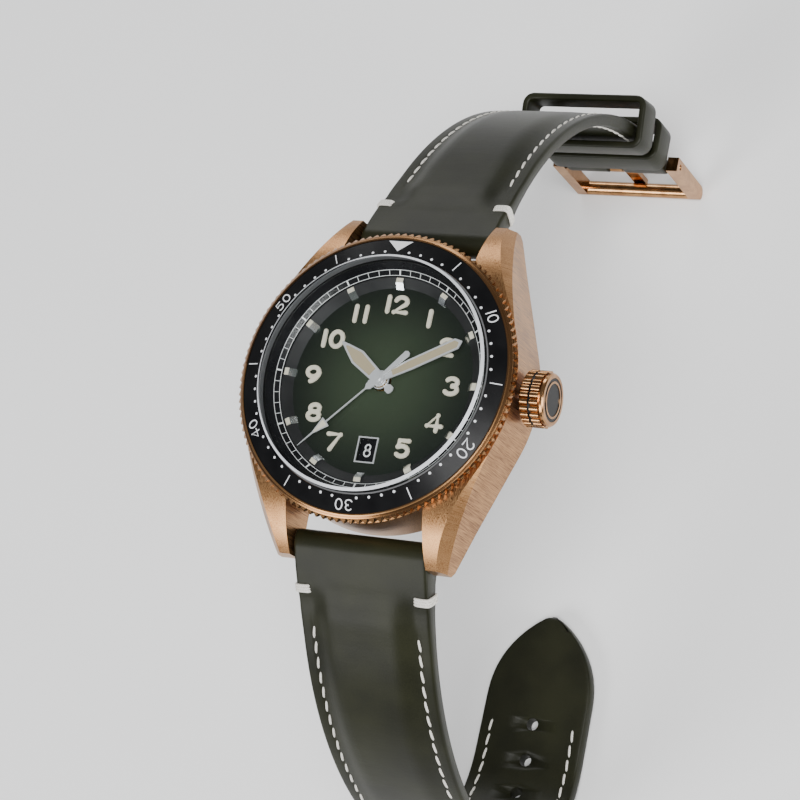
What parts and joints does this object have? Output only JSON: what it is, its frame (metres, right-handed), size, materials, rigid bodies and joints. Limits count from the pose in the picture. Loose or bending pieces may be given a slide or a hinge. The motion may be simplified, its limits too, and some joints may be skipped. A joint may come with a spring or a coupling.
{
  "type": "dive watch",
  "caption": "Self-winding dive watch on an open leather strap: turning bezel, pull-out crown, working hands, gear train, rotor, strap swings and pin buckle.",
  "frame": {"origin": "centre of the case back's outer face", "axes": "+Z out of the dial, +Y to 12 o'clock, +X to the crown"},
  "size_m": [0.0459, 0.1229, 0.084],
  "materials": {
    "bronze": "brushed bronze with polished edges",
    "ceramic_black": "glossy black",
    "sapphire": "clear, coated",
    "steel": "satin",
    "gasket": "smooth",
    "black_lacquer": "black lacquer",
    "dial_green": "green, darker to the edge",
    "rhodium": "polished",
    "lume": "cream",
    "bridge_plate": "rhodium-plated, striped",
    "ruby": "polished ruby",
    "gear_brass": "gilt",
    "tungsten": "striped",
    "leather": "smooth dark olive calf"
  },
  "bodies": {
    "root": {"mid_case": "bronze", "case_back": "steel", "case_back_glass": "sapphire", "crown_tube": "steel", "crystal": "sapphire", "crystal_gasket": "gasket", "flange_ring": "black_lacquer", "bezel_spring": "steel", "dial": "dial_green", "hour_ring": "black_lacquer", "hour_markers": "rhodium", "marker_lume": "lume", "date_frame": "rhodium", "train_bridge": "bridge_plate", "barrel_bridge": "bridge_plate", "balance_cock": "bridge_plate", "jewels": "ruby", "bridge_screws": "steel", "mainplate": "bridge_plate", "rotor_bearing": "steel", "movement_holder": "bridge_plate", "spring_bars": "steel"},
    "bezel": {"bezel_ring": "bronze", "bezel_insert": "ceramic_black"},
    "winding": {"winding_pinion": "steel"},
    "crown": {"crown": "bronze", "crown_disc": "black_lacquer", "winding_stem": "steel"},
    "clutch": {"sliding_pinion": "steel"},
    "crown_wheel": {"crown_wheel": "steel"},
    "ratchet": {"ratchet_wheel": "steel"},
    "click": {"click": "steel"},
    "setting_lever": {"setting_lever": "steel"},
    "minute": {"minute_hand": "rhodium", "minute_hand_lume": "lume", "cannon_pinion": "gear_brass"},
    "hour": {"hour_hand": "rhodium", "hour_hand_lume": "lume", "hour_wheel": "gear_brass"},
    "minute_wheel": {"minute_wheel": "gear_brass"},
    "seconds": {"seconds_hand": "rhodium", "fourth_wheel": "gear_brass"},
    "third": {"third_wheel": "gear_brass"},
    "great": {"great_wheel": "gear_brass"},
    "barrel": {"barrel": "gear_brass", "mainspring": "steel"},
    "escape": {"escape_wheel": "steel"},
    "pallet": {"pallet_fork": "steel"},
    "balance": {"balance_wheel": "gear_brass", "hairspring": "steel"},
    "date": {"date_ring": "black_lacquer"},
    "rotor": {"rotor": "tungsten"},
    "strap_12": {"strap_12": "leather", "keeper_fixed": "leather", "buckle_bar": "steel"},
    "strap_6": {"strap_6": "leather"},
    "keeper": {"keeper_free": "leather"},
    "buckle": {"buckle": "bronze"},
    "tang": {"buckle_tang": "bronze"}
  },
  "joints": [
    {"name": "bezel_turn", "type": "hinge", "parent": "root", "child": "bezel", "pos_m": [0, 0, 0.011], "axis": [0, 0, -1], "continuous": true},
    {"name": "crown_turn", "type": "hinge", "parent": "root", "child": "winding", "pos_m": [0.01, 0, 0.0064], "axis": [1, 0, 0], "continuous": true},
    {"name": "crown_pull", "type": "slide", "parent": "winding", "child": "crown", "axis": [1, 0, 0], "range_m": [0, 0.0018]},
    {"name": "clutch_shift", "type": "slide", "parent": "winding", "child": "clutch", "axis": [-1, 0, 0], "range_m": [0, 0.0009]},
    {"name": "crown_wheel_turn", "type": "hinge", "parent": "root", "child": "crown_wheel", "pos_m": [0.0079, 0, 0.003], "axis": [0, 0, 1], "continuous": true},
    {"name": "ratchet_turn", "type": "hinge", "parent": "root", "child": "ratchet", "pos_m": [0.00501, 0.00528, 0.00475], "axis": [0, 0, 1], "continuous": true},
    {"name": "click_lift", "type": "hinge", "parent": "root", "child": "click", "pos_m": [0.0029, 0.00981, 0.0029], "axis": [0, 0, 1], "range_deg": [0, 12], "stiffness_Nm_per_rad": 0.0001},
    {"name": "setting_lever_swing", "type": "hinge", "parent": "root", "child": "setting_lever", "pos_m": [0.0108, -0.0036, 0.0072], "axis": [0, 0, -1], "range_deg": [0, 28.65]},
    {"name": "minute_turn", "type": "hinge", "parent": "root", "child": "minute", "pos_m": [0, 0, 0.0088], "axis": [0, 0, -1], "continuous": true},
    {"name": "hour_turn", "type": "hinge", "parent": "root", "child": "hour", "pos_m": [0, 0, 0.0088], "axis": [0, 0, -1], "continuous": true},
    {"name": "minute_wheel_turn", "type": "hinge", "parent": "root", "child": "minute_wheel", "pos_m": [0.00197, 0.00138, 0.0077], "axis": [0, 0, -1], "continuous": true},
    {"name": "seconds_turn", "type": "hinge", "parent": "root", "child": "seconds", "pos_m": [0, 0, 0.0088], "axis": [0, 0, -1], "continuous": true},
    {"name": "third_turn", "type": "hinge", "parent": "root", "child": "third", "pos_m": [-0.00289, 0.00135, 0.0046], "axis": [0, 0, -1], "continuous": true},
    {"name": "great_turn", "type": "hinge", "parent": "root", "child": "great", "pos_m": [-0.00069, 0.00448, 0.00425], "axis": [0, 0, -1], "continuous": true},
    {"name": "barrel_turn", "type": "hinge", "parent": "root", "child": "barrel", "pos_m": [0.00501, 0.00528, 0.00475], "axis": [0, 0, -1], "continuous": true},
    {"name": "escape_turn", "type": "hinge", "parent": "root", "child": "escape", "pos_m": [-0.00183, -0.00261, 0.00536], "axis": [0, 0, -1], "continuous": true},
    {"name": "pallet_rock", "type": "hinge", "parent": "root", "child": "pallet", "pos_m": [-0.00406, -0.00375, 0.00537], "axis": [0, 0, 1], "range_deg": [-5, 5]},
    {"name": "balance_swing", "type": "hinge", "parent": "root", "child": "balance", "pos_m": [-0.0069, -0.0052, 0.00465], "axis": [0, 0, 1], "range_deg": [-270, 270], "stiffness_Nm_per_rad": 0.00000063},
    {"name": "date_turn", "type": "hinge", "parent": "root", "child": "date", "pos_m": [0, 0, 0.0077], "axis": [0, 0, -1], "continuous": true},
    {"name": "rotor_turn", "type": "hinge", "parent": "root", "child": "rotor", "pos_m": [0, 0, 0.002], "axis": [0, 0, -1], "continuous": true},
    {"name": "strap_12_swing", "type": "hinge", "parent": "root", "child": "strap_12", "pos_m": [0, 0.0227, 0.0029], "axis": [1, 0, 0], "range_deg": [-20, 35]},
    {"name": "strap_6_swing", "type": "hinge", "parent": "root", "child": "strap_6", "pos_m": [0, -0.0227, 0.0029], "axis": [-1, 0, 0], "range_deg": [-20, 35]},
    {"name": "keeper_slide", "type": "slide", "parent": "strap_12", "child": "keeper", "axis": [0, -0.1561, 0.9877], "range_m": [-0.0018, 0.006]},
    {"name": "buckle_swing", "type": "hinge", "parent": "strap_12", "child": "buckle", "pos_m": [0, 0.06003, -0.05813], "axis": [1, 0, 0], "range_deg": [-30, 40]},
    {"name": "tang_swing", "type": "hinge", "parent": "buckle", "child": "tang", "pos_m": [0, 0.06003, -0.05813], "axis": [1, 0, 0], "range_deg": [0, 60]}
  ],
  "couplings": [
    {"joint": "clutch_shift", "follows": "crown_pull", "ratio": 0.5},
    {"joint": "setting_lever_swing", "follows": "crown_pull", "rad_per_m": 277.78},
    {"joint": "crown_wheel_turn", "follows": "crown_turn", "ratio": 0.66667},
    {"joint": "ratchet_turn", "follows": "crown_turn", "ratio": -0.48},
    {"joint": "minute_wheel_turn", "follows": "minute_turn", "ratio": -0.33333},
    {"joint": "hour_turn", "follows": "minute_turn", "ratio": 0.083333},
    {"joint": "third_turn", "follows": "seconds_turn", "ratio": -0.13333},
    {"joint": "great_turn", "follows": "seconds_turn", "ratio": 0.016667},
    {"joint": "barrel_turn", "follows": "seconds_turn", "ratio": -0.002381},
    {"joint": "escape_turn", "follows": "seconds_turn", "ratio": -12}
  ]
}
